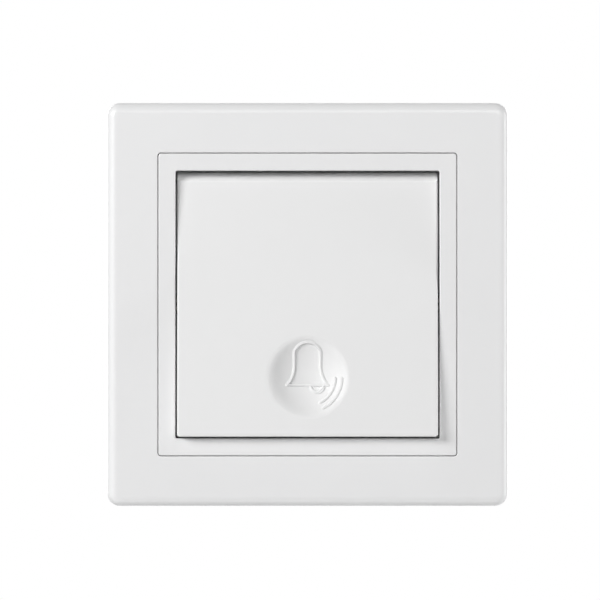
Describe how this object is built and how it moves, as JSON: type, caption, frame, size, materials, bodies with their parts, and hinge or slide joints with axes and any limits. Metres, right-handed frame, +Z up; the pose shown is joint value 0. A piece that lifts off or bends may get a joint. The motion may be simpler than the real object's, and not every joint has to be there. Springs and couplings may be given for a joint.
{
  "type": "doorbell switch",
  "caption": "Square flush doorbell push switch: white cover frame and tilted rocker with a bell symbol in a finger dish, over a claw-fixed bell push mechanism.",
  "frame": {"origin": "middle of the plane of the wall, at the back of the cover frame's rim, halfway between the two box screw slots", "axes": "X to the right and Z up for someone who faces the wall, +Y into the wall; the front looks along -Y"},
  "size_m": [0.082, 0.0357, 0.0824],
  "materials": {
    "frame_white": "gloss",
    "key_white": "gloss",
    "cradle_grey": "satin",
    "cover_white": "satin",
    "base_white": "matt",
    "plunger_black": "satin",
    "zinc_steel": "zinc plated",
    "screw_steel": "zinc plated",
    "spring_steel": "drawn wire",
    "brass": "machined",
    "contact_bronze": "stamped",
    "silver_button": "polished"
  },
  "bodies": {
    "housing": {"support_plate": "zinc_steel", "cover_frame": "frame_white", "rocker_surround": "frame_white", "mechanism_cover": "cover_white", "mechanism_base": "base_white", "cover_screw_upper": "screw_steel", "cover_screw_lower": "screw_steel", "fixed_contact_right": "contact_bronze", "fixed_contact_left": "contact_bronze", "fixed_button_right": "silver_button", "fixed_button_left": "silver_button", "terminal_right": "brass", "terminal_left": "brass", "terminal_screw_right": "screw_steel", "terminal_screw_left": "screw_steel"},
    "rocker": {"rocker_key": "key_white", "rocker_cradle": "cradle_grey"},
    "plunger": {"contact_plunger": "plunger_black", "contact_bridge": "contact_bronze", "bridge_contacts": "silver_button", "return_spring": "spring_steel"},
    "right_claw": {"claw_right": "zinc_steel"},
    "left_claw": {"claw_left": "zinc_steel"},
    "right_claw_screw": {"claw_screw_right": "screw_steel"},
    "left_claw_screw": {"claw_screw_left": "screw_steel"}
  },
  "joints": [
    {"name": "rocker_press", "type": "hinge", "parent": "housing", "child": "rocker", "pos_m": [0, -0.0066, 0], "axis": [1, 0, 0], "range_deg": [0, 3.8], "stiffness_Nm_per_rad": 0.15, "springref_deg": -11.46},
    {"name": "plunger_slide", "type": "slide", "parent": "housing", "child": "plunger", "axis": [0, 1, 0], "range_m": [0, 0.0009], "deforming": ["return_spring"]},
    {"name": "right_claw_screw_turn", "type": "hinge", "parent": "housing", "child": "right_claw_screw", "pos_m": [0.0255, 0, 0], "axis": [0, 1, 0], "range_deg": [0, 630]},
    {"name": "left_claw_screw_turn", "type": "hinge", "parent": "housing", "child": "left_claw_screw", "pos_m": [-0.0255, 0, 0], "axis": [0, 1, 0], "range_deg": [0, 630]},
    {"name": "right_claw_swing", "type": "hinge", "parent": "housing", "child": "right_claw", "pos_m": [0.023, 0.00065, 0], "axis": [0, 0, -1], "range_deg": [0, 20]},
    {"name": "left_claw_swing", "type": "hinge", "parent": "housing", "child": "left_claw", "pos_m": [-0.023, 0.00065, 0], "axis": [0, 0, 1], "range_deg": [0, 20]}
  ],
  "couplings": [
    {"joint": "plunger_slide", "follows": "rocker_press", "m_per_rad": 0.0135},
    {"joint": "right_claw_screw_turn", "follows": "right_claw_swing", "ratio": 31.4},
    {"joint": "left_claw_screw_turn", "follows": "left_claw_swing", "ratio": 31.4}
  ]
}
